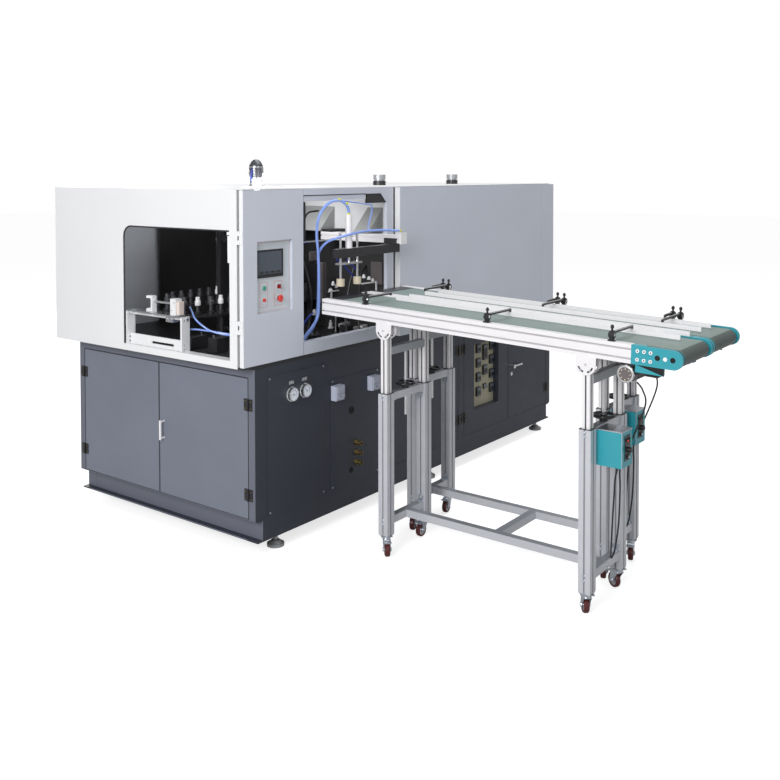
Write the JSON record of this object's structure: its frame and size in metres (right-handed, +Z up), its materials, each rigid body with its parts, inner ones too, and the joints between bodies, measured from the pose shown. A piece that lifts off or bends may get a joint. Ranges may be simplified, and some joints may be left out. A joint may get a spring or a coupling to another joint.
{
  "type": "blow moulding machine",
  "caption": "Stretch blow moulding machine: dark base cabinet, pale hood with windows, swing-out operator door and take-off belt conveyors on casters.",
  "frame": {"origin": "on the ground under the middle of the base cabinet", "axes": "+X along the cabinet to the right as seen from the operator's side, +Y to the machine's back, +Z up"},
  "size_m": [3.36, 3.7395, 2.111],
  "materials": {
    "slate_paint": "satin",
    "door_paint": "satin",
    "hood_paint": "satin",
    "panel_paint": "satin",
    "steel": "satin",
    "chrome": "polished",
    "black_metal": "satin",
    "profile": "anodised",
    "brass": "dull",
    "teal_paint": "gloss",
    "box_grey": "matt",
    "control_black": "matt",
    "control_plate": "satin",
    "green_cap": "gloss",
    "red_cap": "gloss",
    "hose_blue": "gloss",
    "cable_black": "matt",
    "belt_green": "matt",
    "caster_red": "matt",
    "mould_metal": "machined"
  },
  "bodies": {
    "machine": {"base_frame": "slate_paint", "levelling_feet": "steel", "base_cabinet": "slate_paint", "service_panels": "slate_paint", "pressure_gauges": "chrome", "socket_boxes": "box_grey", "pipe_fittings": "brass", "door_hinges": "black_metal", "machine_table": "slate_paint", "hood_shell": "hood_paint", "hood_end_panel": "hood_paint", "hood_front_panel": "panel_paint", "oven_cover": "panel_paint", "roof_vents": "steel", "clamp_frame": "black_metal", "stretch_cylinder": "steel", "takeout_guide": "profile", "preform_track": "steel", "blow_hose": "hose_blue", "conveyor_stands": "profile", "caster_forks": "steel", "control_boxes": "teal_paint", "control_cables": "cable_black"},
    "operator_door": {"hmi_door": "panel_paint", "operator_panel": "control_plate"},
    "start_button": {"start_button": "green_cap"},
    "stop_button": {"stop_button": "red_cap"},
    "selector_knob": {"selector_knob": "control_black"},
    "emergency_stop": {"emergency_stop": "red_cap"},
    "end_door_left": {"end_door_left": "door_paint"},
    "end_door_right": {"end_door_right": "door_paint", "end_door_handle": "chrome"},
    "middle_door": {"middle_door": "slate_paint"},
    "controller_door": {"controller_door": "slate_paint", "temperature_controllers": "control_black"},
    "right_door": {"right_door": "slate_paint"},
    "door_lever": {"door_lever": "chrome"},
    "mould_back": {"mould_back": "mould_metal"},
    "mould_front": {"mould_front": "mould_metal"},
    "takeout_carriage": {"takeout_carriage": "black_metal"},
    "gripper_head": {"gripper_head": "steel"},
    "bottle_clamp": {"bottle_clamp": "steel"},
    "deck_near": {"deck_near": "profile", "belt_near": "belt_green", "end_plates_near": "teal_paint"},
    "deck_far": {"deck_far": "profile", "belt_far": "belt_green", "end_plates_far": "teal_paint"},
    "handwheel_near_infeed": {"handwheel_near_infeed": "control_black"},
    "handwheel_near_discharge": {"handwheel_near_discharge": "control_black"},
    "handwheel_far_infeed": {"handwheel_far_infeed": "control_black"},
    "handwheel_far_discharge": {"handwheel_far_discharge": "control_black"},
    "caster_wheel_1": {"caster_wheel_1": "caster_red"},
    "caster_wheel_2": {"caster_wheel_2": "caster_red"},
    "caster_wheel_3": {"caster_wheel_3": "caster_red"},
    "caster_wheel_4": {"caster_wheel_4": "caster_red"},
    "caster_wheel_5": {"caster_wheel_5": "caster_red"},
    "caster_wheel_6": {"caster_wheel_6": "caster_red"},
    "caster_wheel_7": {"caster_wheel_7": "caster_red"},
    "caster_wheel_8": {"caster_wheel_8": "caster_red"}
  },
  "joints": [
    {"name": "operator_door_swing", "type": "hinge", "parent": "machine", "child": "operator_door", "pos_m": [-1.718, -0.723, 1.461], "axis": [0, 0, -1], "range_deg": [0, 110]},
    {"name": "start_press", "type": "slide", "parent": "operator_door", "child": "start_button", "axis": [0, 1, 0], "range_m": [0, 0.003], "stiffness_N_per_m": 800, "springref_m": -0.002},
    {"name": "stop_press", "type": "slide", "parent": "operator_door", "child": "stop_button", "axis": [0, 1, 0], "range_m": [0, 0.003], "stiffness_N_per_m": 800, "springref_m": -0.002},
    {"name": "selector_turn", "type": "hinge", "parent": "operator_door", "child": "selector_knob", "pos_m": [-1.435, -0.76, 1.42], "axis": [0, -1, 0], "range_deg": [-45, 45]},
    {"name": "emergency_press", "type": "slide", "parent": "operator_door", "child": "emergency_stop", "axis": [0, 1, 0], "range_m": [0, 0.005], "stiffness_N_per_m": 1200, "springref_m": -0.003},
    {"name": "end_door_left_swing", "type": "hinge", "parent": "machine", "child": "end_door_left", "pos_m": [-1.637, 0.7135, 0.579], "axis": [0, 0, -1], "range_deg": [0, 110]},
    {"name": "end_door_right_swing", "type": "hinge", "parent": "machine", "child": "end_door_right", "pos_m": [-1.637, -0.7115, 0.579], "axis": [0, 0, 1], "range_deg": [0, 110]},
    {"name": "middle_door_swing", "type": "hinge", "parent": "machine", "child": "middle_door", "pos_m": [0.3035, -0.767, 0.579], "axis": [0, 0, 1], "range_deg": [0, 90]},
    {"name": "controller_door_swing", "type": "hinge", "parent": "machine", "child": "controller_door", "pos_m": [0.3745, -0.767, 0.579], "axis": [0, 0, -1], "range_deg": [0, 90]},
    {"name": "right_door_swing", "type": "hinge", "parent": "machine", "child": "right_door", "pos_m": [1.5665, -0.767, 0.579], "axis": [0, 0, 1], "range_deg": [0, 110]},
    {"name": "lever_turn", "type": "hinge", "parent": "right_door", "child": "door_lever", "pos_m": [1.029, -0.76, 0.588], "axis": [0, 1, 0], "range_deg": [0, 60]},
    {"name": "mould_back_open", "type": "slide", "parent": "machine", "child": "mould_back", "axis": [0, 1, 0], "range_m": [0, 0.06]},
    {"name": "mould_front_open", "type": "slide", "parent": "machine", "child": "mould_front", "axis": [0, -1, 0], "range_m": [0, 0.06]},
    {"name": "takeout_slide", "type": "slide", "parent": "machine", "child": "takeout_carriage", "axis": [0, 1, 0], "range_m": [0, 0.33], "deforming": ["blow_hose"]},
    {"name": "gripper_lift", "type": "slide", "parent": "takeout_carriage", "child": "gripper_head", "axis": [0, 0, 1], "range_m": [-0.06, 0.025]},
    {"name": "bottle_clamp_slide", "type": "slide", "parent": "machine", "child": "bottle_clamp", "axis": [0, 1, 0], "range_m": [-0.055, 0.035]},
    {"name": "deck_near_lift", "type": "slide", "parent": "machine", "child": "deck_near", "axis": [0, 0, 1], "range_m": [-0.1, 0.04], "deforming": ["control_cables"]},
    {"name": "deck_far_lift", "type": "slide", "parent": "machine", "child": "deck_far", "axis": [0, 0, 1], "range_m": [-0.1, 0.04], "deforming": ["control_cables"]},
    {"name": "handwheel_near_infeed_turn", "type": "hinge", "parent": "machine", "child": "handwheel_near_infeed", "pos_m": [-0.979, -1.255, 0.877], "axis": [0, 0, 1], "range_deg": [-3610, 3610]},
    {"name": "handwheel_near_discharge_turn", "type": "hinge", "parent": "machine", "child": "handwheel_near_discharge", "pos_m": [-0.979, -2.41, 0.877], "axis": [0, 0, 1], "range_deg": [-3610, 3610]},
    {"name": "handwheel_far_infeed_turn", "type": "hinge", "parent": "machine", "child": "handwheel_far_infeed", "pos_m": [-0.585, -1.155, 0.877], "axis": [0, 0, 1], "range_deg": [-3610, 3610]},
    {"name": "handwheel_far_discharge_turn", "type": "hinge", "parent": "machine", "child": "handwheel_far_discharge", "pos_m": [-0.585, -2.31, 0.877], "axis": [0, 0, 1], "range_deg": [-3610, 3610]},
    {"name": "caster_wheel_1_roll", "type": "hinge", "parent": "machine", "child": "caster_wheel_1", "pos_m": [-1.1713, -1.2748, 0.037], "axis": [-0.7071, 0.7071, 0], "continuous": true},
    {"name": "caster_wheel_2_roll", "type": "hinge", "parent": "machine", "child": "caster_wheel_2", "pos_m": [-0.8345, -1.255, 0.037], "axis": [0, 1, 0], "continuous": true},
    {"name": "caster_wheel_3_roll", "type": "hinge", "parent": "machine", "child": "caster_wheel_3", "pos_m": [-0.78381, -1.16458, 0.037], "axis": [-0.342, 0.9397, 0], "continuous": true},
    {"name": "caster_wheel_4_roll", "type": "hinge", "parent": "machine", "child": "caster_wheel_4", "pos_m": [-0.44007, -1.15986, 0.037], "axis": [-0.1736, 0.9848, 0], "continuous": true},
    {"name": "caster_wheel_5_roll", "type": "hinge", "parent": "machine", "child": "caster_wheel_5", "pos_m": [-1.13005, -2.392, 0.037], "axis": [0.6428, -0.766, 0], "continuous": true},
    {"name": "caster_wheel_6_roll", "type": "hinge", "parent": "machine", "child": "caster_wheel_6", "pos_m": [-0.7925, -2.38575, 0.037], "axis": [0.866, -0.5, 0], "continuous": true},
    {"name": "caster_wheel_7_roll", "type": "hinge", "parent": "machine", "child": "caster_wheel_7", "pos_m": [-0.73119, -2.30042, 0.037], "axis": [0.342, -0.9397, 0], "continuous": true},
    {"name": "caster_wheel_8_roll", "type": "hinge", "parent": "machine", "child": "caster_wheel_8", "pos_m": [-0.43881, -2.31958, 0.037], "axis": [-0.342, 0.9397, 0], "continuous": true}
  ],
  "couplings": [
    {"joint": "handwheel_near_infeed_turn", "follows": "deck_near_lift", "rad_per_m": -628.32},
    {"joint": "handwheel_near_discharge_turn", "follows": "deck_near_lift", "rad_per_m": -628.32},
    {"joint": "handwheel_far_infeed_turn", "follows": "deck_far_lift", "rad_per_m": -628.32},
    {"joint": "handwheel_far_discharge_turn", "follows": "deck_far_lift", "rad_per_m": -628.32},
    {"joint": "mould_front_open", "follows": "mould_back_open", "ratio": 1}
  ]
}
